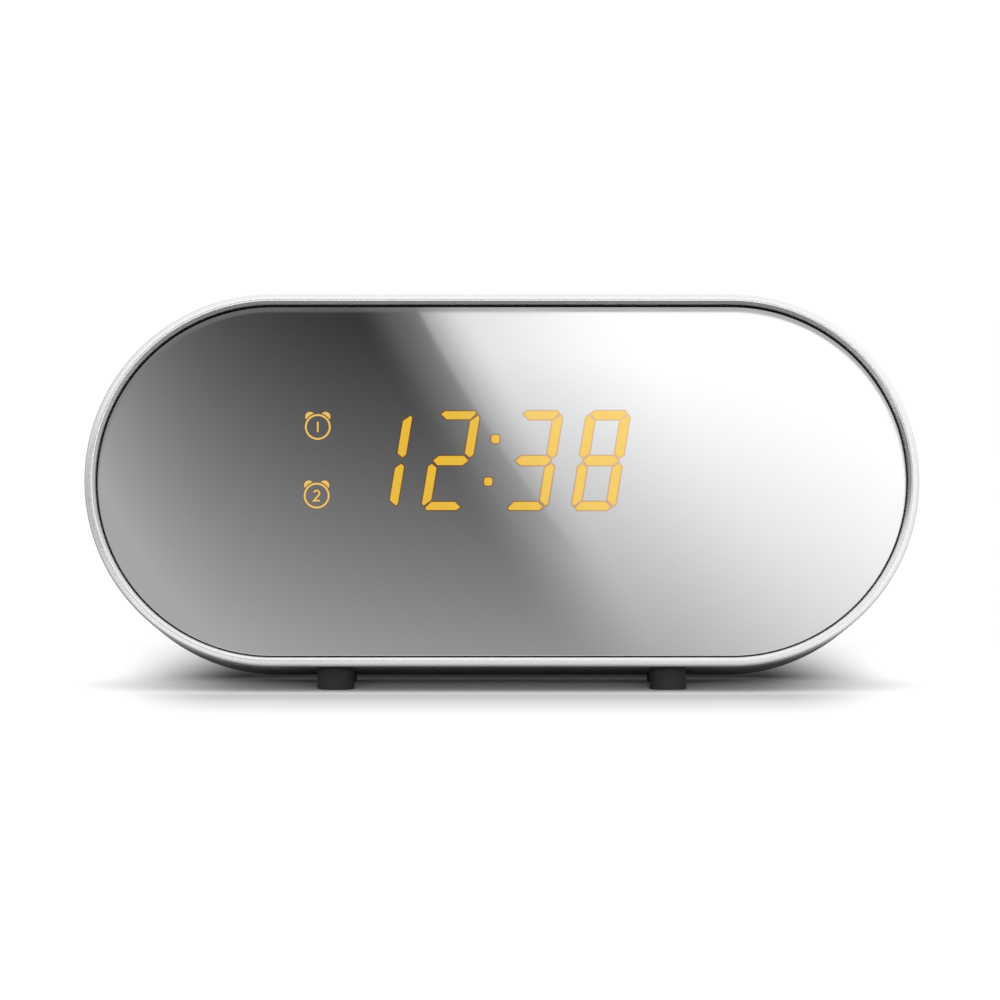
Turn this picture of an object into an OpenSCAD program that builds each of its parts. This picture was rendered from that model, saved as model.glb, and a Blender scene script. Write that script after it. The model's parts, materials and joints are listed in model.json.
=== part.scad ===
// Table clock radio with a mirror front: an upright body with round ends that
// leans back on four feet. +X is the user's right, +Y is the back, +Z is up.
// Each sub-part is drawn in the body's own upright frame, where y = 0 is the
// front of the rim and z = 0 is the underside, and placed() leans it back.

/* [Body] */
// Width over the round ends
body_w = 180; // [170:1:200]
// Height of the body, square to its lean
body_h = 80.8; // [78:0.2:84]
// Depth from the rim's front to the back wall
body_d = 41; // [41:0.5:46]
// Backward lean of the body, in degrees
lean = 7; // [5:0.5:8]
// Height of the rim's lower edge above the table
front_lift = 5.5; // [5.5:0.1:7]
// Wall thickness of the two housings
wall = 2; // [1.8:0.1:2.4]
// Rounding of the back edge
rear_round = 5; // [4:0.5:6]

/* [Front] */
// Depth of the metallic rim
bezel_depth = 6; // [5.8:0.1:7]
// Width of the rim where it meets the mirror
bezel_width = 2.6; // [1.8:0.1:3]
// Width of the rim's flat crest and its outer rounding together
crest_width = 1.4; // [1.2:0.1:1.8]
// Rounding of the rim's outer edge
bezel_round = 0.6; // [0.3:0.1:1]
// Depth of the mirror's face behind the rim's crest
mirror_recess = 3.5; // [1.5:0.1:3.6]
// Thickness of the mirror panel
mirror_t = 1.5; // [1.5:0.1:2.2]
// Gap between the mirror and the rim
mirror_gap = 0.25; // [0.15:0.05:0.4]
// Where the front housing meets the rear cabinet
split_y = 16; // [16:0.5:17]

/* [Display] */
// Height of a digit
digit_h = 21.6; // [16:0.2:23]
// Width of a digit
digit_w = 9.2; // [8:0.2:9.4]
// Width of a lit segment
segment_w = 2.05; // [1.4:0.05:2.2]
// Slant of the digits, in degrees
digit_slant = 10; // [0:1:12]
// Height of the digits' middle above the body's middle
display_lift = 4.4; // [0:0.2:5]

/* [Keys] */
// Width of a small key
key_w = 7.4; // [6.5:0.1:7.6]
// Length of a key, front to back
key_l = 11; // [8:0.5:12]
// Width of the snooze key
snooze_w = 31; // [26:0.5:31]
// Distance from key to key
key_pitch = 8.5; // [8.4:0.1:8.6]
// Height of a key above the housing
key_proud = 0.8; // [0.6:0.1:1.2]
// Travel of a key
key_travel = 0.7; // [0.4:0.05:0.75]

/* [Speaker] */
// Outer radius of the speaker
speaker_r = 26; // [24:0.5:26]
// Sideways place of the speaker
speaker_x = 44; // [43:0.5:45]
// Width of a grille slot
slot_w = 1.6; // [1:0.1:2.2]
// Distance from slot to slot
slot_pitch = 3.4; // [3:0.1:4]

/* [Power] */
// Radius of the opening in the back wall for the adaptor's plug
port_r = 5.5; // [5:0.1:6]
// Radius of the socket's bore
jack_r = 2.8; // [2.75:0.05:3.2]
// Radius of the socket's centre pin
pin_r = 1; // [0.65:0.05:1.25]

/* [Battery] */
// Radius of the coin cell
cell_r = 10; // [8:0.5:10]
// Thickness of the coin cell
cell_t = 3.2; // [2:0.1:3.2]
// Width of the battery door
door_w = 30; // [29:0.5:31]
// Height of the battery door
door_h = 27; // [27:0.5:29]

/* [Feet] */
// Radius of a foot
foot_r = 4; // [3:0.1:4.2]
// Sideways place of the feet
foot_x = 36; // [25:1:42]

/* [Hidden] */
$fn = 96;

// Body
end_r = body_h / 2;
half_straight = body_w / 2 - end_r;
mid_z = body_h / 2;
inner_r = end_r - wall;
rear_inner_y = body_d - wall;
seam_chamfer = 0.3;
// The body's front lower edge and its back upper edge set how deep it is when it leans.
front_reach = bezel_round * (cos(lean) + sin(lean) - 1);
rear_reach = (body_d - rear_round) * cos(lean) + (body_h - rear_round) * sin(lean) + rear_round;
shift_y = -(front_reach + rear_reach) / 2;

// Front
bezel_inner_r = end_r - bezel_width;
mirror_r = bezel_inner_r - mirror_gap;
mirror_back_y = mirror_recess + mirror_t;
tape_t = 0.2;
land_y = mirror_back_y + tape_t;
land_w = 3.6;
land_r = bezel_inner_r - 0.2;
plate_back_y = bezel_depth + 1.5;

// Case screws, front bosses and rear posts
case_screw_x = body_w / 2 - 14;
case_screw_dz = 16;
case_meet_y = 24;
case_head_y = 35;
screw_r = 1.5;
screw_play = 0.05;

// Display: x of each digit's middle, of the two dots and of the two symbols
digit_x = [-25.2, -11.2, 6.6, 21.3];
dot_places = [[-1.4, 9.0], [-3.0, -0.2]];
icon_places = [[-39.8, 11.6], [-40.0, -3.3]];
dot_w = 2.2;
icon_guide_r = 3.6;
display_x = -2;
display_w = 64;
display_h = 25.6;
display_front_y = 5.2;
display_board_y = 12;
board_t = 1.6;
display_board_w = 84;
display_board_h = 33;
display_board_x = -6;
display_z = mid_z + display_lift;
display_holes = [
    for (sx = [-1, 1], sz = [-1, 1])
        [display_board_x + sx * (display_board_w / 2 - 2.5), display_z + sz * (display_board_h / 2 - 2.5)]
];

// Main board
main_board_y = 25;
main_board_back = main_board_y + board_t;
main_board_x = [-68, 12];
main_board_z = [9, 68];
main_hole_x = [-64, 8];
main_hole_z = [13, 64.5];

// Keys: middles of the four on the right, nearest the snooze key first
snooze_edge = snooze_w / 2 + (key_pitch - key_w);
key_x = [for (i = [0:3]) snooze_edge + key_w / 2 + i * key_pitch];
key_y = 26;
key_gap = 0.25;
key_flange = 0.35;
key_flange_top = body_h - wall - 0.4;
key_base_z = key_flange_top - 1;
key_board_z = body_h - 9.8;
key_board_w = 114;
key_board_l = 16;
switch_w = 6;
switch_top = key_board_z + board_t + 3.2;
plunger_top = key_base_z - key_travel - 0.2;
key_post_x = 53.5;
key_post_y = [key_y - key_board_l / 2 + 3, key_y + key_board_l / 2 - 3];

// Speaker, from the back wall forward
cloth_t = 0.4;
gasket_t = 0.8;
flange_t = 1;
cloth_y = rear_inner_y - cloth_t;
gasket_y = cloth_y - gasket_t;
flange_y = gasket_y - flange_t;
cone_neck_y = 26.5;
magnet_y = 17.5;
magnet_t = 5;
magnet_r = 12.5;
plate_t = 1.2;
basket_y = magnet_y + magnet_t + plate_t;
pole_r = 5.8;
coil_r = 6.6;
dust_cap_r = 9.4;
dust_cap_y = 28.8;
dust_cap_bulge_r = 14;
speaker_screw_ring = speaker_r + 2.6;
wire_start_x = 9;
wire_end_x = speaker_x - 19;
wire_dz = 2;
slot_field_r = 22;
slot_count = 2 * floor(slot_field_r / slot_pitch) + 1;

// Power socket and aerial gland
port_x = -16;
port_z = 19;
jack_w = 9;
jack_front_y = rear_inner_y - 0.6;
jack_floor_y = 29;
gland_x = 2;
gland_z = 59;
gland_r = 3;

// Battery
battery_x = -50;
battery_z = mid_z;
door_gap = 0.2;
door_round = 2;
holder_w = door_w + 4;
holder_h = door_h + 4;
holder_y = 31;
cell_y = 35.2;
cell_play = 0.2;

// Feet
front_foot_y = 11;
rear_foot_y = 31.5;
foot_socket = 0.5;
foot_play = 0.1;

// Board screws
small_screw_r = 1;
small_head_r = 2;
small_head_h = 1.4;

charcoal = [0.16, 0.16, 0.17];
silver = [0.80, 0.81, 0.82];
amber = [1.0, 0.72, 0.2];
board_green = [0.05, 0.33, 0.18];
black = [0.05, 0.05, 0.05];
steel = [0.62, 0.63, 0.65];

// ---- Frames and shared shapes ----

// Puts a part drawn in the upright frame onto the table, leaning back.
module placed() {
    translate([0, shift_y, front_lift])
        rotate([-lean, 0, 0])
            children();
}

// A flat outline with round ends, centred, with end radius r.
module stadium(r) {
    square([2 * half_straight, 2 * r], center = true);
    for (x = [-half_straight, half_straight])
        translate([x, 0])
            circle(r);
}

// A pill: width w along x, length l along y, ends rounded by the shorter side.
module pill(w, l) {
    r = min(w, l) / 2;
    square([w - (w > l ? 2 * r : 0), l - (w > l ? 0 : 2 * r)], center = true);
    for (s = [-1, 1])
        translate(w > l ? [s * (w / 2 - r), 0] : [0, s * (l / 2 - r)])
            circle(r);
}

// A rectangle with round corners.
module rounded_rect(w, l, r) {
    square([w - 2 * r, l], center = true);
    square([w, l - 2 * r], center = true);
    for (sx = [-1, 1], sy = [-1, 1])
        translate([sx * (w / 2 - r), sy * (l / 2 - r)])
            circle(r);
}

// Extrudes an outline drawn in x and height from depth y0 to y1.
// The outline's origin is the middle of the body's height.
module slab(y0, y1) {
    translate([0, y1, mid_z])
        rotate([90, 0, 0])
            linear_extrude(y1 - y0)
                children();
}

// The same, with the outline's origin at a place in x and z.
module slab_at(x, z, y0, y1) {
    translate([x, y1, z])
        rotate([90, 0, 0])
            linear_extrude(y1 - y0)
                children();
}

// A round bar or hole along the depth.
module rod(x, z, y0, y1, r) {
    translate([x, y0, z])
        rotate([-90, 0, 0])
            cylinder(h = y1 - y0, r = r);
}

// A box given by its low corner and its size.
module block(low, size) {
    translate(low)
        cube(size);
}

// Runs a profile (x = distance from the centre line, y = depth) round the outline.
module around() {
    translate([0, 0, mid_z])
        rotate([-90, 0, 0]) {
            for (side = [0, 1])
                mirror([side, 0, 0])
                    translate([half_straight, 0, 0])
                        rotate([0, 0, -90])
                            rotate_extrude(angle = 180)
                                children();
            for (side = [0, 1])
                mirror([0, side, 0])
                    translate([-half_straight, 0, 0])
                        rotate([90, 0, 90])
                            linear_extrude(2 * half_straight)
                                children();
        }
}

// What is taken off a square corner at the origin to round it; the corner points to +x +y.
module corner_off(r) {
    translate([-r, -r])
        difference() {
            square(r + 0.5);
            circle(r);
        }
}

// Turns a profile about the speaker's axis.
module on_speaker_axis() {
    translate([speaker_x, 0, mid_z])
        rotate([-90, 0, 0])
            children();
}

// A cross-recessed screw along the depth, head towards the back.
// seat is the depth of the face under the head.
module screw(x, z, seat, length, r, head_r, head_h) {
    difference() {
        union() {
            rod(x, z, seat - length, seat, r);
            rod(x, z, seat, seat + head_h * 0.6, head_r);
            translate([x, seat + head_h * 0.6, z])
                rotate([-90, 0, 0])
                    cylinder(h = head_h * 0.4, r1 = head_r, r2 = head_r * 0.72);
        }
        for (turn = [0, 90])
            translate([x, seat + head_h * 0.35, z])
                rotate([0, turn, 0])
                    translate([-head_r * 0.55, 0, -head_r * 0.11])
                        cube([head_r * 1.1, head_h, head_r * 0.22]);
    }
}

// ---- Shells ----

module front_bezel() {
    color(silver)
        placed()
            around()
                difference() {
                    polygon([
                        [bezel_inner_r, bezel_depth],
                        [end_r, bezel_depth],
                        [end_r, 0],
                        [end_r - crest_width, 0],
                        [bezel_inner_r, mirror_recess]
                    ]);
                    translate([end_r, 0])
                        mirror([0, 1])
                            corner_off(bezel_round);
                }
}

module mirror_lens() {
    color([0.75, 0.77, 0.8])
        placed()
            slab(mirror_recess, mirror_back_y)
                stadium(mirror_r);
}

module lens_tape() {
    color(black)
        placed()
            slab(mirror_back_y, land_y)
                difference() {
                    stadium(land_r - 0.4);
                    stadium(land_r - land_w + 0.4);
                }
}

module housing_wall() {
    around()
        polygon([
            [inner_r, plate_back_y],
            [end_r, plate_back_y],
            [end_r, split_y - seam_chamfer],
            [end_r - seam_chamfer, split_y],
            [inner_r, split_y]
        ]);
}

module display_window(play) {
    square([display_w + play, display_h + play], center = true);
}

module front_housing() {
    color(charcoal)
        placed()
            difference() {
                union() {
                    slab(land_y, bezel_depth)
                        difference() {
                            stadium(land_r);
                            stadium(land_r - land_w);
                        }
                    slab(bezel_depth, plate_back_y)
                        stadium(end_r);
                    housing_wall();
                    for (sx = [-1, 1], sz = [-1, 1])
                        rod(sx * case_screw_x, mid_z + sz * case_screw_dz, plate_back_y, case_meet_y, 3.2);
                    for (p = display_holes)
                        rod(p[0], p[1], plate_back_y, display_board_y, 2.2);
                    for (x = main_hole_x, z = main_hole_z)
                        rod(x, z, plate_back_y, main_board_y, 2.4);
                }
                slab_at(display_x, display_z, land_y - 1, plate_back_y + 1)
                    display_window(0.8);
                for (p = icon_places)
                    rod(p[0], mid_z + p[1], land_y - 1, plate_back_y + 1, icon_guide_r + 0.2);
                for (sx = [-1, 1], sz = [-1, 1])
                    rod(sx * case_screw_x, mid_z + sz * case_screw_dz, 12, case_meet_y + 1, screw_r + screw_play);
                for (p = display_holes)
                    rod(p[0], p[1], plate_back_y, display_board_y + 1, small_screw_r + screw_play);
                for (x = main_hole_x, z = main_hole_z)
                    rod(x, z, main_board_y - 6, main_board_y + 1, small_screw_r + screw_play);
                for (sx = [-1, 1])
                    foot_recess(sx * foot_x, front_foot_y);
            }
}

module cabinet_shell() {
    around()
        difference() {
            polygon([
                [0, body_d],
                [end_r, body_d],
                [end_r, split_y + seam_chamfer],
                [end_r - seam_chamfer, split_y],
                [inner_r, split_y],
                [inner_r, rear_inner_y],
                [0, rear_inner_y]
            ]);
            translate([end_r, body_d])
                corner_off(rear_round);
        }
    // Fillet that keeps the wall's thickness round the back edge.
    around()
        translate([inner_r - rear_round + wall, rear_inner_y - rear_round + wall])
            difference() {
                square(rear_round - wall);
                circle(rear_round - wall);
            }
    // Tongue that centres the front housing.
    around()
        translate([inner_r - 1.8, split_y - 1.5])
            square([1.6, 1.5]);
    around()
        translate([inner_r - 1.8, split_y])
            square([1.8, 2]);
}

module cabinet_posts() {
    for (sx = [-1, 1], sz = [-1, 1])
        rod(sx * case_screw_x, mid_z + sz * case_screw_dz, case_meet_y, rear_inner_y + 1, 4.2);
    for (a = [0, 120, 240])
        rod(
            speaker_x + speaker_screw_ring * cos(a),
            mid_z + speaker_screw_ring * sin(a),
            flange_y,
            rear_inner_y + 0.5,
            2.4
        );
    for (sx = [-1, 1], y = key_post_y)
        translate([sx * key_post_x, y, key_board_z + board_t])
            cylinder(h = body_h - wall + 1 - key_board_z - board_t, r = 2.2);
}

module grille_slots() {
    for (i = [0:slot_count - 1]) {
        height = (i - (slot_count - 1) / 2) * slot_pitch;
        half = sqrt(pow(slot_field_r, 2) - pow(height, 2));
        slab_at(speaker_x, mid_z + height, rear_inner_y - 1, body_d + 1)
            pill(2 * half, slot_w);
    }
}

module key_holes() {
    for (i = [0:3], s = [-1, 1])
        translate([s * key_x[i], key_y, body_h - wall - 1])
            linear_extrude(wall + 2)
                pill(key_w + 2 * key_gap, key_l + 2 * key_gap);
    translate([0, key_y, body_h - wall - 1])
        linear_extrude(wall + 2)
            pill(snooze_w + 2 * key_gap, key_l + 2 * key_gap);
}

module rear_cabinet() {
    color(charcoal)
        placed()
            difference() {
                union() {
                    cabinet_shell();
                    cabinet_posts();
                }
                grille_slots();
                key_holes();
                for (sx = [-1, 1], sz = [-1, 1]) {
                    rod(sx * case_screw_x, mid_z + sz * case_screw_dz, case_head_y, body_d + 1, 3.4);
                    rod(sx * case_screw_x, mid_z + sz * case_screw_dz, case_meet_y - 1, case_head_y + 1, 1.75);
                }
                for (a = [0, 120, 240])
                    rod(
                        speaker_x + speaker_screw_ring * cos(a),
                        mid_z + speaker_screw_ring * sin(a),
                        flange_y - 1,
                        rear_inner_y + 0.8,
                        small_screw_r + screw_play
                    );
                for (sx = [-1, 1], y = key_post_y)
                    translate([sx * key_post_x, y, key_board_z])
                        cylinder(h = board_t + 5, r = small_screw_r + screw_play);
                rod(port_x, port_z, rear_inner_y - 1, body_d + 1, port_r);
                rod(gland_x, gland_z, rear_inner_y - 1, body_d + 1, gland_r);
                slab_at(battery_x, battery_z, rear_inner_y - 1, body_d + 1)
                    rounded_rect(door_w, door_h, door_round);
                for (sx = [-1, 1])
                    foot_recess(sx * foot_x, rear_foot_y);
            }
}

// ---- Display ----

function slanted(points) = [for (p = points) [p[0] + p[1] * tan(digit_slant), p[1]]];

// Half sizes of a digit and the cuts at a segment's ends.
half_w = digit_w / 2;
half_h = digit_h / 2;
segment_gap = 0.3;
tip = 0.6;

// Top bar of a digit, mitred at both ends; mirrored it is the bottom bar.
top_bar = [
    [-half_w + segment_gap + tip + 0.8, half_h],
    [half_w - segment_gap - tip, half_h],
    [half_w - segment_gap - tip * 0.8, half_h - tip],
    [half_w - segment_gap - segment_w, half_h - segment_w],
    [-half_w + segment_gap + segment_w, half_h - segment_w],
    [-half_w + segment_gap + tip * 0.8, half_h - tip]
];

// Upper right bar; mirrored it is each of the four upright bars.
side_bar = [
    [half_w - segment_w, half_h - segment_w - segment_gap],
    [half_w - tip * 0.6, half_h - tip - segment_gap],
    [half_w, half_h - 2 * tip - segment_gap],
    [half_w, segment_w / 2 + 0.1],
    [half_w - segment_w / 2, segment_gap],
    [half_w - segment_w, segment_w / 2 + segment_gap]
];

// Middle bar, pointed at both ends.
middle_bar = [
    [-half_w + segment_w / 2 + segment_gap, 0],
    [-half_w + segment_w + segment_gap, segment_w / 2],
    [half_w - segment_w - segment_gap, segment_w / 2],
    [half_w - segment_w / 2 - segment_gap, 0],
    [half_w - segment_w - segment_gap, -segment_w / 2],
    [-half_w + segment_w + segment_gap, -segment_w / 2]
];

function flipped(points, sx, sy) = [for (p = points) [sx * p[0], sy * p[1]]];

// The seven bars of one digit, as outlines about the digit's middle.
module seven_segments() {
    for (s = [-1, 1])
        polygon(slanted(flipped(top_bar, s, s)));
    for (sx = [-1, 1], sy = [-1, 1])
        polygon(slanted(flipped(side_bar, sx, sy)));
    polygon(slanted(middle_bar));
}

module display_outlines() {
    for (x = digit_x)
        translate([x, 0])
            seven_segments();
    for (p = dot_places)
        translate([p[0], p[1] - display_lift])
            rounded_rect(dot_w, dot_w, 0.5);
}

module display_housing() {
    color([0.1, 0.1, 0.1])
        placed()
            difference() {
                slab_at(display_x, display_z, display_front_y, display_board_y)
                    square([display_w, display_h], center = true);
                slab_at(0, display_z, display_front_y - 1, display_front_y + 3)
                    display_outlines();
            }
}

module display_segments() {
    color(amber)
        placed()
            slab_at(0, display_z, display_front_y, display_front_y + 3)
                display_outlines();
}

module icon_light_guides() {
    color([0.95, 0.85, 0.6])
        placed()
            for (p = icon_places) {
                rod(p[0], mid_z + p[1], display_front_y, display_board_y - 2, icon_guide_r);
                rod(p[0], mid_z + p[1], display_board_y - 2, display_board_y - 1, 2);
            }
}

module display_leds() {
    color([0.95, 0.9, 0.7])
        placed()
            for (p = icon_places)
                block([p[0] - 1.6, display_board_y - 0.9, mid_z + p[1] - 1.4], [3.2, 0.9, 2.8]);
}

module display_board() {
    color(board_green)
        placed()
            slab_at(display_board_x, display_z, display_board_y, display_board_y + board_t)
                difference() {
                    square([display_board_w, display_board_h], center = true);
                    for (p = display_holes)
                        translate([p[0] - display_board_x, p[1] - display_z])
                            circle(small_screw_r + 0.2);
                }
}

// ---- Main board and what stands on it ----

module main_board() {
    color(board_green)
        placed()
            difference() {
                block(
                    [main_board_x[0], main_board_y, main_board_z[0]],
                    [main_board_x[1] - main_board_x[0], board_t, main_board_z[1] - main_board_z[0]]
                );
                for (x = main_hole_x, z = main_hole_z)
                    rod(x, z, main_board_y - 1, main_board_back + 1, small_screw_r + 0.2);
            }
}

// A thin metal can over the tuner, open towards the board.
module tuner_shield() {
    color(steel)
        placed()
            difference() {
                block([-20, main_board_back, 40], [20, 5, 16]);
                block([-19.7, main_board_back - 1, 40.3], [19.4, 5.7, 15.4]);
                for (i = [0:2])
                    rod(-15 + 5 * i, 48, main_board_back + 4, main_board_back + 6, 1);
            }
}

module main_chips() {
    color(black)
        placed() {
            block([-15, main_board_back, 43], [10, 1.6, 10]);
            block([-31, main_board_back, 30], [12, 1.7, 9]);
            block([-8, main_board_back, 29], [8, 1.6, 5]);
            block([-62, main_board_back, 18], [6, 1.5, 5]);
            for (i = [0:4])
                block([-56 + 5 * i, main_board_back, 58], [2, 0.7, 1.2]);
        }
}

module capacitors() {
    color([0.12, 0.14, 0.3])
        placed() {
            rod(-27, 17, main_board_back, main_board_back + 11, 4);
            rod(-4, 17, main_board_back, main_board_back + 9, 3.2);
            rod(3.5, 52, main_board_back, main_board_back + 7, 2.5);
            rod(-36, 62, main_board_back, main_board_back + 7, 2.5);
            rod(3.5, 31, main_board_back, main_board_back + 7, 2.5);
        }
}

module voltage_regulator() {
    color([0.1, 0.1, 0.1])
        placed()
            difference() {
                union() {
                    block([-38, main_board_back, 9.5], [4.5, 9, 10]);
                    block([-39.3, main_board_back, 9.5], [1.3, 9, 14.5]);
                }
                translate([-40, main_board_back + 4.5, 21.8])
                    rotate([0, 90, 0])
                        cylinder(h = 3, r = 1.6);
            }
}

module crystal() {
    color(steel)
        placed()
            slab_at(-22, 26, main_board_back, main_board_back + 3.5)
                pill(10, 4);
}

module cable_sockets() {
    color([0.9, 0.88, 0.8])
        placed() {
            difference() {
                block([-9, display_board_y + board_t, 30.5], [18, 3, 5]);
                block([-8.2, display_board_y + board_t + 1, 32.4], [16.4, 3, 1.2]);
            }
            difference() {
                block([-9, main_board_y - 3, 22.5], [18, 3, 5]);
                block([-8.2, main_board_y - 4, 24.4], [16.4, 3, 1.2]);
            }
            difference() {
                block([-30, main_board_back, 62], [14, 5, 4]);
                block([-29.2, main_board_back + 1.4, 63], [12.4, 1.2, 4]);
            }
            difference() {
                block([wire_start_x - 4, main_board_back, mid_z - 4], [6, 5, 8]);
                for (dz = [-wire_dz, wire_dz])
                    translate([wire_start_x, main_board_back + 2.5, mid_z + dz])
                        rotate([0, 90, 0])
                            cylinder(h = 3, r = 0.7);
            }
        }
}

// A flat cable folded in a step between the two upright boards.
module display_cable() {
    y0 = display_board_y + board_t + 1;
    y1 = main_board_y - 1;
    fold = (y0 + y1) / 2;
    t = 0.8;
    color([0.75, 0.75, 0.72])
        placed()
            translate([-8, 0, 0])
                rotate([90, 0, 90])
                    linear_extrude(16)
                        polygon([
                            [y0, 32.6], [fold, 32.6], [fold, 24.6], [y1, 24.6],
                            [y1, 24.6 + t], [fold + t, 24.6 + t], [fold + t, 32.6 + t], [y0, 32.6 + t]
                        ]);
}

module key_cable() {
    color([0.75, 0.75, 0.72])
        placed()
            block([-29, main_board_back + 1.6, 63], [12, 0.8, key_board_z - 63]);
}

module speaker_wires() {
    color([0.7, 0.1, 0.1])
        placed()
            for (dz = [-wire_dz, wire_dz])
                translate([wire_start_x, main_board_back + 2.5, mid_z + dz])
                    rotate([0, 90, 0])
                        cylinder(h = wire_end_x - wire_start_x, r = 0.6);
}

// ---- Keys ----

// A key's cap with the flange that keeps it under the housing's top.
module key_cap(x, w) {
    color([0.22, 0.22, 0.23])
        placed()
            translate([x, key_y, key_base_z]) {
                linear_extrude(body_h + key_proud - key_base_z)
                    pill(w, key_l);
                linear_extrude(key_flange_top - key_base_z)
                    pill(w + 2 * key_flange, key_l + 2 * key_flange + 1);
            }
}

module power_button() {
    key_cap(-key_x[3], key_w);
}

module set_button() {
    key_cap(-key_x[2], key_w);
}

module tune_down_button() {
    key_cap(-key_x[1], key_w);
}

module tune_up_button() {
    key_cap(-key_x[0], key_w);
}

module snooze_bar() {
    key_cap(0, snooze_w);
}

module alarm_1_button() {
    key_cap(key_x[0], key_w);
}

module alarm_2_button() {
    key_cap(key_x[1], key_w);
}

module volume_down_button() {
    key_cap(key_x[2], key_w);
}

module volume_up_button() {
    key_cap(key_x[3], key_w);
}

module key_board() {
    color(board_green)
        placed()
            difference() {
                block([-key_board_w / 2, key_y - key_board_l / 2, key_board_z], [key_board_w, key_board_l, board_t]);
                for (sx = [-1, 1], y = key_post_y)
                    translate([sx * key_post_x, y, key_board_z - 1])
                        cylinder(h = board_t + 2, r = small_screw_r + 0.2);
            }
}

module tact_switches() {
    color([0.3, 0.3, 0.32])
        placed()
            for (x = concat([0], key_x, -key_x))
                translate([x, key_y, 0]) {
                    translate([-switch_w / 2, -switch_w / 2, key_board_z + board_t])
                        cube([switch_w, switch_w, switch_top - key_board_z - board_t]);
                    translate([0, 0, switch_top])
                        cylinder(h = plunger_top - switch_top, r = 1.6);
                }
}

// ---- Speaker, facing the back ----

module speaker_basket() {
    color(steel)
        placed() {
            difference() {
                on_speaker_axis()
                    rotate_extrude()
                        polygon([
                            [speaker_r - 3, gasket_y],
                            [speaker_r, gasket_y],
                            [speaker_r, flange_y],
                            [speaker_r - 1.5, flange_y],
                            [magnet_r + 1.5, basket_y + plate_t + 0.8],
                            [magnet_r + 1.5, basket_y],
                            [coil_r + 1.4, basket_y],
                            [coil_r + 1.4, basket_y + plate_t],
                            [magnet_r, basket_y + plate_t],
                            [speaker_r - 3, flange_y - 0.8]
                        ]);
                on_speaker_axis()
                    for (a = [45:90:315])
                        rotate([0, 0, a])
                            translate([magnet_r + 2, -6, 27])
                                cube([9, 12, 7.5]);
            }
            // Tag that the two wires end on
            block([wire_end_x, main_board_back + 1, mid_z - 4], [3.2, 3, 8]);
        }
}

module speaker_cone() {
    color([0.13, 0.13, 0.14])
        placed()
            on_speaker_axis() {
                // Cone wall
                rotate_extrude()
                    polygon([
                        [coil_r - 0.4, cone_neck_y],
                        [coil_r + 0.2, cone_neck_y],
                        [speaker_r - 6.2, gasket_y - 1.4],
                        [speaker_r - 6.2, gasket_y - 1],
                        [speaker_r - 6.8, gasket_y - 1]
                    ]);
                // Half-round surround
                translate([0, 0, gasket_y - 1.2])
                    rotate_extrude()
                        translate([speaker_r - 4.8, 0])
                            difference() {
                                circle(1.6);
                                circle(1.2);
                                translate([-2, -2])
                                    square([4, 2]);
                            }
                // Rim of the surround, glued on the flange
                translate([0, 0, gasket_y - 1.2])
                    rotate_extrude()
                        translate([speaker_r - 3.5, 0])
                            square([0.4, 1.2]);
                // Dust cap
                translate([0, 0, dust_cap_y])
                    rotate_extrude()
                        intersection() {
                            translate([0, -sqrt(pow(dust_cap_bulge_r, 2) - pow(dust_cap_r, 2))])
                                difference() {
                                    circle(dust_cap_bulge_r);
                                    circle(dust_cap_bulge_r - 0.4);
                                }
                            translate([0, -0.2])
                                square([dust_cap_r, 6]);
                        }
            }
}

module voice_coil() {
    color([0.7, 0.4, 0.2])
        placed()
            on_speaker_axis()
                translate([0, 0, magnet_y + 2])
                    difference() {
                        cylinder(h = cone_neck_y - magnet_y - 2, r = coil_r);
                        translate([0, 0, -1])
                            cylinder(h = 20, r = coil_r - 0.4);
                    }
}

module speaker_magnet() {
    color([0.25, 0.25, 0.26])
        placed()
            on_speaker_axis()
                translate([0, 0, magnet_y])
                    difference() {
                        cylinder(h = magnet_t, r = magnet_r);
                        translate([0, 0, -1])
                            cylinder(h = magnet_t + 2, r = coil_r + 0.6);
                    }
}

module speaker_yoke() {
    color(steel)
        placed()
            on_speaker_axis() {
                // Back plate with the pole
                translate([0, 0, magnet_y - plate_t])
                    cylinder(h = plate_t, r = magnet_r);
                translate([0, 0, magnet_y])
                    cylinder(h = magnet_t + plate_t, r = pole_r);
                // Top plate
                translate([0, 0, magnet_y + magnet_t])
                    difference() {
                        cylinder(h = plate_t, r = magnet_r);
                        translate([0, 0, -1])
                            cylinder(h = plate_t + 2, r = coil_r + 0.4);
                    }
            }
}

module speaker_gasket() {
    color([0.2, 0.2, 0.2])
        placed()
            slab_at(speaker_x, mid_z, gasket_y, cloth_y)
                difference() {
                    circle(speaker_r);
                    circle(speaker_r - 3);
                }
}

module grille_cloth() {
    color(black)
        placed()
            slab_at(speaker_x, mid_z, cloth_y, rear_inner_y)
                circle(speaker_r - 0.2);
}

module speaker_screws() {
    color(steel)
        placed()
            for (a = [0, 120, 240])
                translate([
                    speaker_x + speaker_screw_ring * cos(a),
                    flange_y,
                    mid_z + speaker_screw_ring * sin(a)
                ])
                    rotate([180, 0, 0])
                        screw(0, 0, 0, 3, small_screw_r, 3.4, 1.4);
}

// ---- Power, battery, aerial ----

module dc_jack_body() {
    color(black)
        placed()
            difference() {
                block(
                    [port_x - jack_w / 2, main_board_back, port_z - jack_w / 2],
                    [jack_w, jack_front_y - main_board_back, jack_w]
                );
                rod(port_x, port_z, jack_floor_y, jack_front_y + 1, jack_r);
            }
}

module dc_jack_pin() {
    color(steel)
        placed()
            rod(port_x, port_z, jack_floor_y, jack_front_y - 0.4, pin_r);
}

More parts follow.
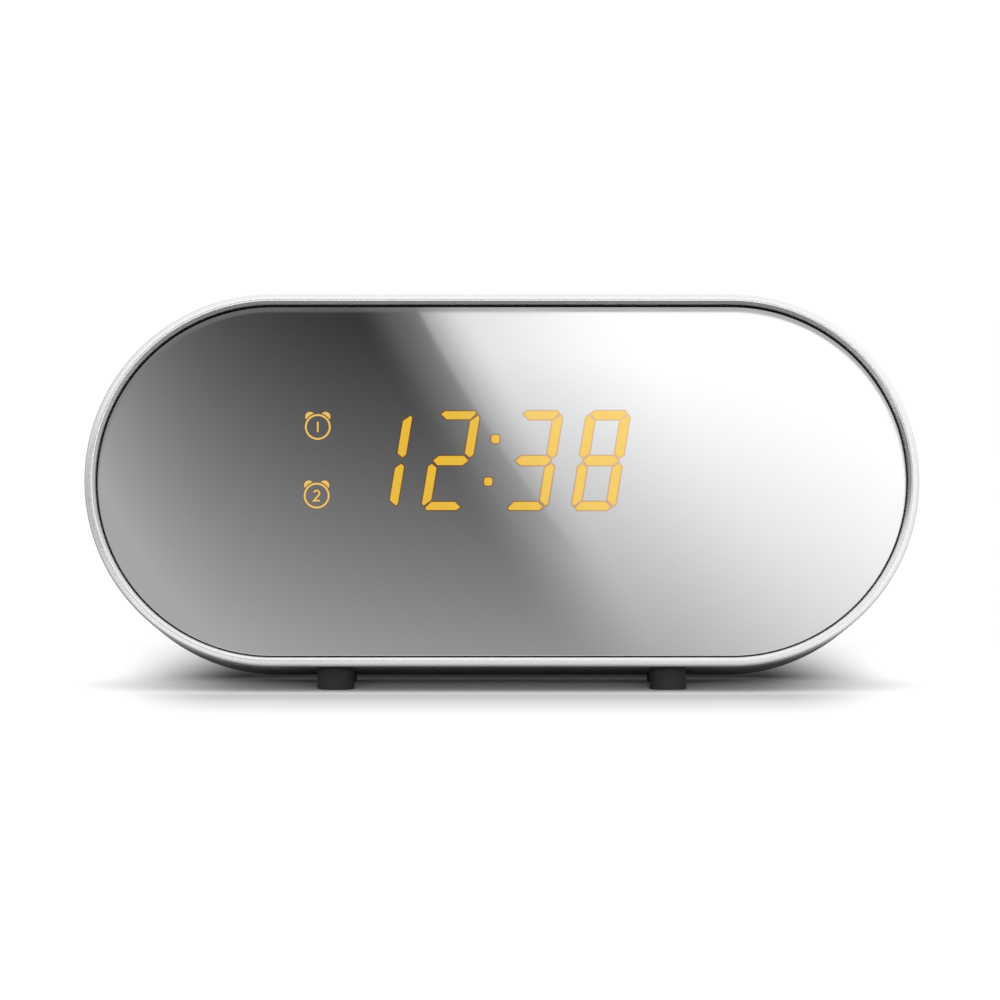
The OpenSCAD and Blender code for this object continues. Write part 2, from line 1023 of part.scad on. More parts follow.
module battery_holder() {
    color([0.12, 0.12, 0.12])
        placed()
            difference() {
                slab_at(battery_x, battery_z, holder_y, rear_inner_y)
                    rounded_rect(holder_w, holder_h, 3);
                rod(battery_x, battery_z, cell_y - 0.4, rear_inner_y + 1, cell_r + cell_play);
                // Relief that the door's ribs enter, and a finger notch
                for (s = [-1, 1])
                    block([battery_x + s * 12.2 - 0.9, rear_inner_y - 2, battery_z - 5.5], [1.8, 3, 11]);
                block([battery_x - 4, cell_y + 1, battery_z - cell_r - 2.5], [8, 5, 6]);
            }
}

module battery_contacts() {
    color([0.8, 0.78, 0.7])
        placed() {
            rod(battery_x, battery_z, cell_y - 0.4, cell_y, 4);
            block([battery_x - 3, cell_y - 0.4, battery_z + 6], [6, 0.2, 3]);
        }
}

module coin_cell() {
    color(steel)
        placed() {
            rod(battery_x, battery_z, cell_y, cell_y + 0.6, cell_r - 1.2);
            rod(battery_x, battery_z, cell_y + 0.6, cell_y + cell_t, cell_r);
        }
}

module battery_door() {
    color([0.15, 0.15, 0.16])
        placed()
            union() {
                slab_at(battery_x, battery_z, rear_inner_y + 0.2, body_d)
                    difference() {
                        rounded_rect(door_w - 2 * door_gap, door_h - 2 * door_gap, door_round - door_gap);
                        translate([0, door_h / 2])
                            circle(3.4);
                    }
                for (s = [-1, 1])
                    block([battery_x + s * 12.2 - 0.6, rear_inner_y - 1.4, battery_z - 5], [1.2, 2, 10]);
            }
}

// Rubber grommet for the aerial wire.
module antenna_gland() {
    color(black)
        placed()
            difference() {
                union() {
                    rod(gland_x, gland_z, rear_inner_y - 0.8, rear_inner_y, gland_r + 1);
                    rod(gland_x, gland_z, rear_inner_y, body_d, gland_r - 0.05);
                    rod(gland_x, gland_z, body_d, body_d + 0.7, gland_r + 1);
                }
                rod(gland_x, gland_z, rear_inner_y - 2, body_d + 2, 0.9);
            }
}

// ---- Fasteners ----

module case_screws() {
    color(steel)
        placed()
            for (sx = [-1, 1], sz = [-1, 1])
                screw(sx * case_screw_x, mid_z + sz * case_screw_dz, case_head_y, 19, screw_r, 2.9, 2.2);
}

module board_screws() {
    color(steel)
        placed() {
            for (p = display_holes)
                screw(p[0], p[1], display_board_y + board_t, 5.6, small_screw_r, small_head_r, small_head_h);
            for (x = main_hole_x, z = main_hole_z)
                screw(x, z, main_board_back, 7, small_screw_r, small_head_r, small_head_h);
            for (sx = [-1, 1], y = key_post_y)
                translate([sx * key_post_x, y, key_board_z])
                    rotate([90, 0, 0])
                        mirror([0, 1, 0])
                            screw(0, 0, 0, 6, small_screw_r, small_head_r, small_head_h);
        }
}

// ---- Feet ----

module foot_recess(x, y) {
    translate([x, y, -1])
        cylinder(h = 1 + foot_socket, r = foot_r + foot_play);
}

// A rubber pad square to the body's underside, cut level with the table.
module foot(x, y) {
    color(black)
        difference() {
            placed()
                translate([x, y, -front_lift - 3])
                    cylinder(h = front_lift + 3 + foot_socket, r = foot_r);
            translate([-body_w, -body_w, -20])
                cube([2 * body_w, 2 * body_w, 20]);
        }
}

module front_foot_left() {
    foot(-foot_x, front_foot_y);
}

module front_foot_right() {
    foot(foot_x, front_foot_y);
}

module rear_foot_left() {
    foot(-foot_x, rear_foot_y);
}

module rear_foot_right() {
    foot(foot_x, rear_foot_y);
}

front_bezel();
mirror_lens();
lens_tape();
front_housing();
rear_cabinet();
display_housing();
display_segments();
icon_light_guides();
display_board();
display_leds();
main_board();
tuner_shield();
main_chips();
capacitors();
voltage_regulator();
crystal();
cable_sockets();
display_cable();
key_cable();
speaker_wires();
power_button();
set_button();
tune_down_button();
tune_up_button();
snooze_bar();
alarm_1_button();
alarm_2_button();
volume_down_button();
volume_up_button();
key_board();
tact_switches();
speaker_basket();
speaker_cone();
voice_coil();
speaker_magnet();
speaker_yoke();
speaker_gasket();
speaker_screws();
grille_cloth();
dc_jack_body();
dc_jack_pin();
battery_holder();
battery_contacts();
coin_cell();
battery_door();
antenna_gland();
case_screws();
board_screws();
front_foot_left();
front_foot_right();
rear_foot_left();
rear_foot_right();
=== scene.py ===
"""Looks of a table clock radio with a mirror front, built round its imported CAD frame.

Lengths on the radio's faces are given in millimetres and turned into metres by the
Face frames below; everything else is in metres in the row's own frame.
"""
import json
import math

import bmesh
import bpy
from mathutils import Matrix, Vector


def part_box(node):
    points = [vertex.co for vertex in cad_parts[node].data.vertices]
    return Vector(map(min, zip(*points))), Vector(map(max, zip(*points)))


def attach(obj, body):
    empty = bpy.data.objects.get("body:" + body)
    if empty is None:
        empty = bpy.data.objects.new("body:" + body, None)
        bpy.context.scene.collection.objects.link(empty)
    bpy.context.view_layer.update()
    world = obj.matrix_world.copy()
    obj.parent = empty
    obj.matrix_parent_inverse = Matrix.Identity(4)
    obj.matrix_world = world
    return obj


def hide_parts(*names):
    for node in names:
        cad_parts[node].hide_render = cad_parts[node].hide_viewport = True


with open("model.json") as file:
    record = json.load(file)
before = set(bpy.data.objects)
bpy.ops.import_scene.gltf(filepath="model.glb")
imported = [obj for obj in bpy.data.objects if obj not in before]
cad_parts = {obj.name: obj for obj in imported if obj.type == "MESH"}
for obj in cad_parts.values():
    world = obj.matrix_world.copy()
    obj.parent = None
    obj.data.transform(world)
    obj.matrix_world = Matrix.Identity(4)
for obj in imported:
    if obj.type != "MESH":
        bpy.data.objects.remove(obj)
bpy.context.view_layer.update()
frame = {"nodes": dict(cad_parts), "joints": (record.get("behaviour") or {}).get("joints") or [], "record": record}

MM = 0.001
RADIO = "radio"
DOOR = "battery_door"
KEYS = [
    "power_button", "set_button", "tune_down_button", "tune_up_button", "snooze_bar",
    "alarm_1_button", "alarm_2_button", "volume_down_button", "volume_up_button",
]

# ---------------------------------------------------------------- the body's directions

joint_axis = {j["child"]: Vector(j["axis"]).normalized() for j in frame["joints"]}
RIGHT = Vector((1, 0, 0))
BACK = joint_axis[DOOR]
UP = -joint_axis[KEYS[0]]


def span(node, direction):
    """Lowest and highest distance of a CAD node along a direction."""
    along = [v.co.dot(direction) for v in frame["nodes"][node].data.vertices]
    return min(along), max(along)


class Face:
    """A flat place on the radio: origin, the directions of its two axes, and its outward normal."""

    def __init__(self, origin, u, v, out):
        self.origin, self.u, self.v, self.out = Vector(origin), u, v, out

    def at(self, x, y, proud=0.0):
        """The point x, y millimetres along the face's axes and proud millimetres out of it."""
        return self.origin + (self.u * x + self.v * y + self.out * proud) * MM


def face_at(right, back, up, u, v, out):
    """A Face whose origin is at these distances along RIGHT, BACK and UP."""
    return Face(RIGHT * right + BACK * back + UP * up, u, v, out)


rim_front, rim_back = span("front_bezel", BACK)
rim_low, rim_high = span("front_bezel", UP)
mirror_front, mirror_back = span("mirror_lens", BACK)
body_mid = (rim_low + rim_high) / 2
end_radius = (rim_high - rim_low) / 2 / MM
half_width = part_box("front_bezel")[1].x / MM
half_straight = half_width - end_radius
mirror_low, mirror_high = span("mirror_lens", UP)
MIRROR_GROWTH = 0.28
mirror_radius = (mirror_high - mirror_low) / 2 / MM + MIRROR_GROWTH

rim_face = face_at(0, rim_front, body_mid, RIGHT, UP, -BACK)
mirror_face = face_at(0, mirror_front, body_mid, RIGHT, UP, -BACK)


def key_face(node):
    """The top of a key, with u to the right and v to the back."""
    low, high = span(node, RIGHT)
    near, far = span(node, BACK)
    return face_at((low + high) / 2, (near + far) / 2, span(node, UP)[1], RIGHT, BACK, UP)


# ---------------------------------------------------------------- materials

PLASTIC_IOR = 1.5
MIRROR_COLOUR = (0.93, 0.935, 0.945)
SILVER = (0.79, 0.79, 0.79)
OUTER_EDGE = "outer_edge"
THREAD_PITCH = 0.00055


class NodeMaterial:
    """A material with helpers for procedural patterns in the object's own coordinates."""

    def __init__(self, name):
        self.material = bpy.data.materials.new(name)
        self.material.use_nodes = True
        self.tree = self.material.node_tree
        self.coords = self.node("ShaderNodeTexCoord").outputs["Object"]

    def node(self, kind, **settings):
        """A new node with the given settings."""
        made = self.tree.nodes.new(kind)
        for key, value in settings.items():
            setattr(made, key, value)
        return made

    def link(self, output, target):
        """Links an output to a socket."""
        self.tree.links.new(output, target)

    def noise(self, scale, detail=2.0, rough=0.5, stretch=(1, 1, 1)):
        """Noise of scale cells per metre, from 0 to 1."""
        mapped = self.node("ShaderNodeMapping")
        mapped.inputs["Scale"].default_value = stretch
        self.link(self.coords, mapped.inputs["Vector"])
        made = self.node("ShaderNodeTexNoise")
        made.inputs["Scale"].default_value = scale
        made.inputs["Detail"].default_value = detail
        made.inputs["Roughness"].default_value = rough
        self.link(mapped.outputs["Vector"], made.inputs["Vector"])
        return made.outputs["Fac"]

    def remap(self, value, low, high, source=(0.3, 0.7), smooth=False):
        """Maps a pattern's middle range onto low to high."""
        curve = "SMOOTHSTEP" if smooth else "LINEAR"
        made = self.node("ShaderNodeMapRange", interpolation_type=curve)
        for key, number in zip(("From Min", "From Max", "To Min", "To Max"), (*source, low, high)):
            made.inputs[key].default_value = number
        self.link(value, made.inputs["Value"])
        return made.outputs["Result"]

    def object_axes(self):
        """The X, Y and Z outputs of the object's own coordinates."""
        separate = self.node("ShaderNodeSeparateXYZ")
        self.link(self.coords, separate.inputs["Vector"])
        return separate.outputs

    def facing(self, direction):
        """How far the surface faces a direction, from -1 to 1."""
        dot = self.node("ShaderNodeVectorMath", operation="DOT_PRODUCT")
        self.link(self.node("ShaderNodeNewGeometry").outputs["Normal"], dot.inputs[0])
        dot.inputs[1].default_value = direction
        return dot.outputs["Value"]

    def maths(self, operation, a, b=None):
        """A Math node's result, each operand being a number or another node's output."""
        made = self.node("ShaderNodeMath", operation=operation)
        for socket, value in zip(made.inputs, (a, b)):
            if value is None:
                continue
            if isinstance(value, (int, float)):
                socket.default_value = value
            else:
                self.link(value, socket)
        return made.outputs["Value"]


class Shader(NodeMaterial):
    """A principled surface whose colour, roughness and bump follow procedural patterns."""

    def __init__(self, name, colour, roughness, metallic=0.0):
        super().__init__(name)
        self.bsdf = self.tree.nodes["Principled BSDF"]
        self.bsdf.inputs["Base Color"].default_value = (*colour, 1)
        self.bsdf.inputs["Roughness"].default_value = roughness
        self.bsdf.inputs["Metallic"].default_value = metallic
        self.bsdf.inputs["IOR"].default_value = PLASTIC_IOR
        self.colour = colour
        self.height = None

    def vary_colour(self, pattern, darker, lighter, socket="Base Color"):
        """Drives a colour socket from darker to lighter times the base colour."""
        mix = self.node("ShaderNodeMix", data_type="RGBA")
        mix.inputs["A"].default_value = (*[min(1, c * darker) for c in self.colour], 1)
        mix.inputs["B"].default_value = (*[min(1, c * lighter) for c in self.colour], 1)
        self.link(pattern, mix.inputs["Factor"])
        self.link(mix.outputs["Result"], self.bsdf.inputs[socket])

    def vary_roughness(self, pattern, low, high):
        """Drives the roughness from low to high over a pattern's middle range."""
        self.link(self.remap(pattern, low, high), self.bsdf.inputs["Roughness"])

    def bump(self, pattern, depth, strength=1.0):
        """Raises the surface by depth metres where the pattern is 1; calls stack."""
        made = self.node("ShaderNodeBump")
        made.inputs["Strength"].default_value = strength
        made.inputs["Distance"].default_value = depth
        self.link(pattern, made.inputs["Height"])
        if self.height is not None:
            self.link(self.height, made.inputs["Normal"])
        self.height = made.outputs["Normal"]
        self.link(self.height, self.bsdf.inputs["Normal"])


def rim_metal():
    """Silver lacquer with fine metal flake, and painted shade that follows the way the surface faces."""
    s = Shader("rim_metal", SILVER, 0.22, metallic=0.85)
    flake = s.remap(s.noise(9000, detail=1), 0.975, 1.025)
    # Painted shade: the colour darkens by the way the surface faces, and most where it looks down.
    # It imitates the photograph's light and isn't a property of the real lacquer.
    sideways = s.remap(s.facing(-BACK), 1.0, 0.0, source=(0.3, 0.93), smooth=True)
    loss = s.remap(s.facing(UP * 0.85 - RIGHT * 0.12), 0.93, 0.0, source=(-0.9, 0.8))
    shade = s.maths("SUBTRACT", 1.0, s.maths("MULTIPLY", sideways, loss))
    # The rounded outer edge is painted darker still, except where it looks up to the right.
    outer = s.node("ShaderNodeAttribute", attribute_name=OUTER_EDGE).outputs["Fac"]
    darker = s.remap(s.facing(UP * 0.75 + RIGHT * 0.65), 0.68, 0.0, source=(-0.75, 0.6))
    shade = s.maths("MULTIPLY", shade, s.maths("SUBTRACT", 1.0, s.maths("MULTIPLY", outer, darker)))
    s.vary_colour(s.maths("MULTIPLY", flake, shade), 0.0, 1.0)
    s.vary_roughness(s.noise(700, detail=3), 0.19, 0.25)
    return s.material


def mirror_glass():
    """Half mirror on a clear panel, with the faintest haze."""
    s = Shader("mirror", MIRROR_COLOUR, 0.012, metallic=1.0)
    haze = s.noise(60, detail=4)
    s.vary_colour(s.remap(haze, 0, 1), 0.992, 1.0)
    s.vary_roughness(haze, 0.006, 0.018)
    return s.material


def shell_plastic():
    """Charcoal plastic from a spark-eroded mould, its shine varying a little from place to place."""
    s = Shader("shell_plastic", (0.034, 0.034, 0.036), 0.6)
    s.bsdf.inputs["Specular IOR Level"].default_value = 0.35
    grain = s.noise(3200, detail=3, rough=0.6)
    cloud = s.noise(90, detail=3)
    s.vary_colour(s.remap(grain, 0, 1), 0.86, 1.16)
    s.vary_roughness(cloud, 0.56, 0.66)
    s.bump(grain, 0.00003)
    s.bump(cloud, 0.00004, strength=0.25)
    return s.material


def key_plastic():
    """Smoother dark grey plastic, worn a little shiny."""
    s = Shader("key_plastic", (0.060, 0.060, 0.063), 0.36)
    grain = s.noise(5200, detail=2)
    s.vary_colour(s.remap(s.noise(240, detail=3), 0, 1), 0.94, 1.06)
    s.vary_roughness(s.noise(300, detail=4), 0.30, 0.42)
    s.bump(grain, 0.000008)
    return s.material


def print_ink():
    """Pale printing ink."""
    s = Shader("print_ink", (0.62, 0.63, 0.64), 0.5)
    s.vary_colour(s.remap(s.noise(2500, detail=2), 0, 1), 0.93, 1.05)
    return s.material


def lit_amber(name, colour, reflected):
    """Amber light seen through the half mirror, which still reflects a share of the studio."""
    s = Shader(name, reflected, 0.012, metallic=1.0)
    s.vary_colour(s.remap(s.noise(300, detail=2), 0, 1), 0.97, 1.0)
    s.bsdf.inputs["Emission Strength"].default_value = 1.0
    s.colour = colour
    s.vary_colour(s.remap(s.noise(900, detail=2), 0, 1), 0.97, 1.02, socket="Emission Color")
    return s.material


def moulded(name, colour, roughness, grain_scale=4000, grain_depth=0.00001):
    """Any plain moulded or coated small part."""
    s = Shader(name, colour, roughness)
    grain = s.noise(grain_scale, detail=2)
    s.vary_colour(s.remap(grain, 0, 1), 0.9, 1.1)
    s.vary_roughness(s.noise(500, detail=3), roughness * 0.88, min(1, roughness * 1.12))
    s.bump(grain, grain_depth)
    return s.material


def rubber():
    """Dull black rubber."""
    s = Shader("foot_rubber", (0.018, 0.018, 0.019), 0.72)
    grain = s.noise(2600, detail=3)
    s.vary_colour(s.remap(grain, 0, 1), 0.8, 1.3)
    s.vary_roughness(s.noise(400, detail=2), 0.66, 0.8)
    s.bump(grain, 0.00003)
    return s.material


def brushed_metal(name, colour, roughness, stretch=(1, 1, 14)):
    """Plated metal with fine lines along the axis that stretch squeezes least."""
    s = Shader(name, colour, roughness, metallic=1.0)
    lines = s.noise(900, detail=3, stretch=stretch)
    s.vary_colour(s.remap(lines, 0, 1), 0.9, 1.06)
    s.vary_roughness(lines, roughness * 0.85, min(1, roughness * 1.2))
    s.bump(lines, 0.000006)
    return s.material


def woven_cloth():
    """Plain weave."""
    s = Shader("grille_cloth", (0.020, 0.020, 0.021), 0.85)
    axes = s.object_axes()
    threads = 2 * math.pi / THREAD_PITCH
    across = s.maths("SINE", s.maths("MULTIPLY", axes["X"], threads))
    along = s.maths("SINE", s.maths("MULTIPLY", axes["Z"], threads))
    weave = s.maths("MULTIPLY", across, along)
    s.vary_colour(s.remap(weave, 0, 1, source=(-1, 1)), 0.5, 1.6)
    s.bump(weave, 0.00006)
    s.bsdf.inputs["Sheen Weight"].default_value = 0.3
    return s.material


def circuit_board():
    """Green solder mask over a faint net of tracks."""
    s = Shader("circuit_board", (0.02, 0.16, 0.075), 0.32)
    tracks = s.node("ShaderNodeTexVoronoi", feature="DISTANCE_TO_EDGE")
    tracks.inputs["Scale"].default_value = 320
    s.link(s.coords, tracks.inputs["Vector"])
    net = s.remap(tracks.outputs["Distance"], 1, 0, source=(0.02, 0.08))
    s.vary_colour(net, 1.0, 1.8)
    s.vary_roughness(s.noise(400, detail=2), 0.27, 0.4)
    s.bump(net, 0.00002)
    return s.material


def make_materials():
    """Every material by name: the record's slots, and those of the pieces made here."""
    return {
        "rim_metal": rim_metal(),
        "mirror": mirror_glass(),
        "shell_plastic": shell_plastic(),
        "key_plastic": key_plastic(),
        "print_ink": print_ink(),
        "lit_amber": lit_amber("lit_amber", (0.79, 0.47, 0.032), (0.2, 0.22, 0.17)),
        "lit_symbol": lit_amber("lit_symbol", (0.78, 0.52, 0.14), (0.2, 0.2, 0.2)),
        # Painted glow round the lit digits and symbols: a faint emission and a tinted reflection.
        "lit_glow": lit_amber("lit_glow", (0.045, 0.008, 0.0), (0.90, 0.62, 0.36)),
        "black_plastic": moulded("black_plastic", (0.012, 0.012, 0.013), 0.45),
        "clear_guide": moulded("clear_guide", (0.75, 0.62, 0.35), 0.2),
        "circuit_board": circuit_board(),
        "chip_black": moulded("chip_black", (0.016, 0.016, 0.017), 0.55),
        "capacitor_sleeve": moulded("capacitor_sleeve", (0.02, 0.03, 0.12), 0.25),
        "socket_plastic": moulded("socket_plastic", (0.62, 0.58, 0.45), 0.45),
        "flat_cable": moulded("flat_cable", (0.4, 0.4, 0.37), 0.4),
        "red_wire": moulded("red_wire", (0.35, 0.02, 0.02), 0.35),
        "plain_steel": brushed_metal("plain_steel", (0.52, 0.52, 0.53), 0.3),
        "magnet_ferrite": moulded("magnet_ferrite", (0.05, 0.05, 0.052), 0.6),
        "copper_coil": brushed_metal("copper_coil", (0.75, 0.36, 0.18), 0.3, stretch=(1, 14, 1)),
        "cone_paper": moulded("cone_paper", (0.022, 0.022, 0.024), 0.8, 1500, 0.00008),
        "grille_cloth": woven_cloth(),
        "foam": moulded("foam", (0.02, 0.02, 0.02), 0.9, 1800, 0.0001),
        "foot_rubber": rubber(),
        "cell_steel": brushed_metal("cell_steel", (0.7, 0.7, 0.71), 0.22),
    }


MATERIALS = make_materials()


def dress_cad_nodes():
    """Gives each CAD node the material that its slot in the record names."""
    slots = {s["node"]: s["material_slot"] for s in frame["record"]["subparts"]}
    for name, obj in frame["nodes"].items():
        obj.data.materials.clear()
        obj.data.materials.append(MATERIALS[slots[name]])


SOFT_EDGES = {
    "rear_cabinet": 0.25, "front_housing": 0.15, "battery_door": 0.25, "antenna_gland": 0.3,
    "front_foot_left": 0.4, "front_foot_right": 0.4, "rear_foot_left": 0.4, "rear_foot_right": 0.4,
    "dc_jack_body": 0.2, "dc_jack_pin": 0.3, "case_screws": 0.08,
}
WELD_REACH = 2e-6


def soften_edges(node, width, segments=3, angle=35):
    """Rounds a CAD node's sharp edges by width millimetres, with modifiers only."""
    obj = frame["nodes"][node]
    weld = obj.modifiers.new("weld", "WELD")
    weld.merge_threshold = WELD_REACH
    bevel = obj.modifiers.new("bevel", "BEVEL")
    bevel.width = width * MM
    bevel.segments = segments
    bevel.limit_method = "ANGLE"
    bevel.angle_limit = math.radians(angle)
    bevel.use_clamp_overlap = True
    bevel.harden_normals = True
    bevel.miter_outer = "MITER_ARC"


# ---------------------------------------------------------------- mesh building


def new_piece(name, mesh_data, material, body, smooth_angle=35):
    """Links a finished mesh as a piece that rides on a body."""
    obj = bpy.data.objects.new(name, mesh_data)
    bpy.context.scene.collection.objects.link(obj)
    mesh_data.materials.append(MATERIALS[material])
    mesh_data.shade_smooth()
    mesh_data.set_sharp_from_angle(angle=math.radians(smooth_angle))
    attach(obj, body)
    return obj


def finished_mesh(name, bm):
    """Turns a bmesh into a mesh with faces pointing outwards."""
    bmesh.ops.recalc_face_normals(bm, faces=bm.faces)
    mesh = bpy.data.meshes.new(name)
    bm.to_mesh(mesh)
    bm.free()
    return mesh


def add_prism(bm, face, outline, low, high):
    """Adds a closed slab over an outline on a face, from low to high mm proud."""
    rings = [[bm.verts.new(face.at(x, y, h)) for x, y in outline] for h in (low, high)]
    count = len(outline)
    for i in range(count):
        j = (i + 1) % count
        bm.faces.new((rings[0][i], rings[0][j], rings[1][j], rings[1][i]))
    bm.faces.new(rings[1])
    bm.faces.new(reversed(rings[0]))


def add_stroke(bm, face, path, width, low, high, closed=False):
    """Adds a slab of constant width along a path on a face, from low to high mm proud."""
    points = [Vector(p) for p in path]
    count = len(points)
    rings = []
    for i, point in enumerate(points):
        before = points[i - 1] if closed or i else point
        after = points[(i + 1) % count] if closed or i < count - 1 else point
        leg_in, leg_out = (point - before), (after - point)
        leg_in = leg_in.normalized() if leg_in.length else leg_out.normalized()
        leg_out = leg_out.normalized() if leg_out.length else leg_in
        mean = (leg_in + leg_out).normalized()
        side = Vector((-mean.y, mean.x))
        reach = width / 2 / max(0.35, side.dot(Vector((-leg_in.y, leg_in.x))))
        edges = (point + side * reach, point - side * reach)
        corners = [(edges[0], low), (edges[1], low), (edges[1], high), (edges[0], high)]
        rings.append([bm.verts.new(face.at(p.x, p.y, h)) for p, h in corners])
    for i in range(count if closed else count - 1):
        here, there = rings[i], rings[(i + 1) % count]
        for k in range(4):
            bm.faces.new((here[k], there[k], there[(k + 1) % 4], here[(k + 1) % 4]))
    if not closed:
        bm.faces.new(rings[0])
        bm.faces.new(reversed(rings[-1]))


def arc(cx, cy, radius, start, end, steps):
    """Points on a circle from start to end degrees, both ends included."""
    turns = [math.radians(start + (end - start) * i / steps) for i in range(steps + 1)]
    return [(cx + radius * math.cos(a), cy + radius * math.sin(a)) for a in turns]


def circle_points(cx, cy, radius, steps=48):
    """Points all round a circle."""
    return arc(cx, cy, radius, 0, 360, steps)[:-1]


def stadium_points(half, radius, steps):
    """Outline with round ends, counter-clockwise, half being half of the straight stretch."""
    return arc(half, 0, radius, -90, 90, steps) + arc(-half, 0, radius, 90, 270, steps)


def loft(bm, face, rings):
    """Joins rings of (outline, proud) into a closed skin and caps both ends."""
    verts = [[bm.verts.new(face.at(x, y, h)) for x, y in outline] for outline, h in rings]
    for here, there in zip(verts, verts[1:]):
        for i in range(len(here)):
            j = (i + 1) % len(here)
            bm.faces.new((here[i], here[j], there[j], there[i]))
    bm.faces.new(verts[-1])
    bm.faces.new(reversed(verts[0]))


# ---------------------------------------------------------------- rim and mirror


def rounded_profile(corners, steps=5):
    """A closed profile of (distance, depth, radius) corners with each corner rounded."""
    out = []
    count = len(corners)
    for i, (x, y, radius) in enumerate(corners):
        here = Vector((x, y))
        before = Vector(corners[i - 1][:2]) - here
        after = Vector(corners[(i + 1) % count][:2]) - here
        if radius == 0:
            out.append((x, y))
            continue
        half = before.angle(after) / 2
        reach = min(radius / math.tan(half), before.length * 0.49, after.length * 0.49)
        start, end = here + before.normalized() * reach, here + after.normalized() * reach
        for k in range(steps + 1):
            t = k / steps
            point = start * (1 - t) ** 2 + here * 2 * t * (1 - t) + end * t ** 2
            out.append((point.x, point.y))
    return out


RIM_GAP = 0.25
RIM_STEPS = 96
SHADED_START, SHADED_WIDTH = 0.8, 0.6


def make_rim():
    """The metallic rim: flat crest, rounded outer edge, and a lip that slopes in to the mirror."""
    depth = (rim_back - rim_front) / MM
    lip = (mirror_front - rim_front) / MM
    inner = mirror_radius + RIM_GAP
    profile = rounded_profile([
        (inner, depth, 0),
        (inner, lip, 0.2),
        (end_radius - 1.7, 0.02, 0.3),
        (end_radius - 1.25, 0, 0.5),
        (end_radius - 0.5, 0.13, 0.3),
        (end_radius, 0.5, 0.6),
        (end_radius, depth, 0.15),
    ])
    bm = bmesh.new()
    rings = []
    for radius, back in profile:
        outline = stadium_points(half_straight, radius, RIM_STEPS)
        rings.append([bm.verts.new(rim_face.at(x, y, -back)) for x, y in outline])
    for here, there in zip(rings, rings[1:] + rings[:1]):
        for i in range(len(here)):
            j = (i + 1) % len(here)
            bm.faces.new((here[i], here[j], there[j], there[i]))
    mesh = finished_mesh("rim", bm)
    # How near each point is to the outer edge, from 0 to 1, for the material's painted shade on that edge.
    outer = mesh.attributes.new(OUTER_EDGE, "FLOAT", "POINT")
    for i, value in enumerate(outer.data):
        radius = profile[i // len(outline)][0]
        value.value = min(1.0, max(0.0, (radius - end_radius + SHADED_START) / SHADED_WIDTH))
    rim = new_piece("rim", mesh, "rim_metal", RADIO, smooth_angle=50)
    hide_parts("front_bezel")


def make_mirror():
    """The mirror panel with a fine ground edge."""
    thick = (mirror_back - mirror_front) / MM
    edge = 0.12
    bm = bmesh.new()
    levels = [(0, 0), (edge, -edge), (edge, edge - thick), (0, -thick)]
    rings = [
        (stadium_points(half_straight, mirror_radius - edge + grow, RIM_STEPS), proud)
        for grow, proud in levels
    ]
    loft(bm, mirror_face, rings)
    mesh = finished_mesh("mirror_panel", bm)
    mirror = new_piece("mirror_panel", mesh, "mirror", RADIO, smooth_angle=20)
    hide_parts("mirror_lens")


# ---------------------------------------------------------------- lit digits and symbols

DIGIT_HALF_W = 4.66
DIGIT_HALF_H = 10.7
DIGIT_MID_Z = 4.4
LEVEL_BAR = 1.72
MIDDLE_BAR = 1.98
SIDE_BAR = 1.85
GAP = 0.42
TIP = 0.6
SLANT = math.tan(math.radians(9.3))
DIGIT_PLACES = {-25.6: "1", -11.05: "2", 6.8: "3", 21.4: "8"}
DOT_PLACES = [(-1.4, 9.05), (-2.95, -0.15)]
DOT_HALF = 0.86
SYMBOL_PLACES = {(-39.8, 11.7): "1", (-40.0, -3.2): "2"}
LIT_BARS = {"1": "bc", "2": "abged", "3": "abgcd", "8": "abcdefg"}
SYMBOL_RING = 2.8
SYMBOL_STROKE = 0.42
LIT_SUNK = -0.02
LIT_PROUD = 0.035
GLOW_PROUD = 0.02
GLOW_LAYER = 0.0015
GLOW_REACH = 0.32


def bar_outlines():
    """The seven bars of a digit about its middle, upright, named a to g clockwise from the top."""
    w, h = DIGIT_HALF_W, DIGIT_HALF_H
    top = [
        (-w + GAP + TIP + 0.7, h), (w - GAP - TIP - 0.2, h), (w - GAP - 0.45, h - 0.45),
        (w - GAP - SIDE_BAR + 0.35, h - LEVEL_BAR), (-w + GAP + SIDE_BAR, h - LEVEL_BAR),
        (-w + GAP + 0.55, h - TIP),
    ]
    side = [
        (w - SIDE_BAR, h - LEVEL_BAR - 0.4), (w - 0.35, h - 0.95), (w, h - 1.45),
        (w, 1.3), (w - SIDE_BAR * 0.37, 0.7), (w - SIDE_BAR, 1.6),
    ]
    reach, rise = w - 0.9, MIDDLE_BAR / 2
    middle = [
        (-reach, 0), (-reach + 1.05, rise), (reach - 1.05, rise),
        (reach, 0), (reach - 1.05, -rise), (-reach + 1.05, -rise),
    ]

    def flip(points, sx, sy):
        return [(sx * x, sy * y) for x, y in points]

    return {
        "a": top, "b": side, "c": flip(side, 1, -1), "d": flip(top, -1, -1),
        "e": flip(side, -1, -1), "f": flip(side, -1, 1), "g": middle,
    }


def grown(points, reach):
    """An outline moved outwards by reach all round."""
    area = sum(a[0] * b[1] - b[0] * a[1] for a, b in zip(points, points[1:] + points[:1]))
    turn = 1 if area > 0 else -1
    out = []
    for i, here in enumerate(points):
        before, after = points[i - 1], points[(i + 1) % len(points)]
        legs = [Vector(here) - Vector(before), Vector(after) - Vector(here)]
        normals = [Vector((leg.y, -leg.x)).normalized() * turn for leg in legs]
        mitre = (normals[0] + normals[1]).normalized()
        out.append(tuple(Vector(here) + mitre * reach / max(0.6, mitre.dot(normals[0]))))
    return out


def slanted(points):
    return [(x + y * SLANT, y) for x, y in points]


